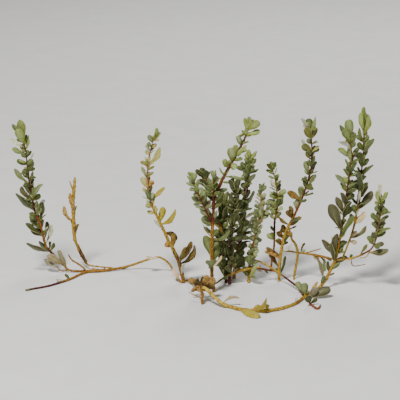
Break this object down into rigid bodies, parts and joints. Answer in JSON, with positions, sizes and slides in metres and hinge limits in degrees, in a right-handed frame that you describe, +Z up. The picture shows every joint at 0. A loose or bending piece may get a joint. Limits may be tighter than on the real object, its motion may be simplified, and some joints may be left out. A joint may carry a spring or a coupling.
{
  "type": "sea purslane plant",
  "caption": "Small creeping seashore plant with woody runners and upright stems of fleshy oval leaves, standing by itself.",
  "frame": {"origin": "centre of the bounding box on the ground", "axes": "+X to the right as seen from the front, along the long spread; +Y to the back; +Z up"},
  "size_m": [0.5634, 0.2538, 0.2724],
  "materials": {
    "runner": "dull thin bark",
    "green_shoot": "matte fleshy leaves with a silvery bloom",
    "dark_shoot": "matte fleshy leaves, dark olive green",
    "dry_shoot": "dull, dry and flaky"
  },
  "bodies": {
    "root": {"creeping_stem_left": "runner", "shoot_left": "green_shoot", "shoot_dry": "dry_shoot", "shoot_second": "green_shoot", "crown": "runner", "creeping_stem_front": "runner", "shoot_front": "green_shoot", "shoot_dark_low": "dark_shoot", "shoot_dark": "dark_shoot", "shoot_middle": "green_shoot", "shoot_fine": "green_shoot", "shoot_small": "green_shoot", "creeping_stem_middle": "runner", "shoot_tall": "green_shoot", "side_stem": "runner", "creeping_stem_right": "runner", "shoot_right": "green_shoot", "shoot_right_tall": "green_shoot", "shoot_far_right": "green_shoot"}
  },
  "joints": []
}
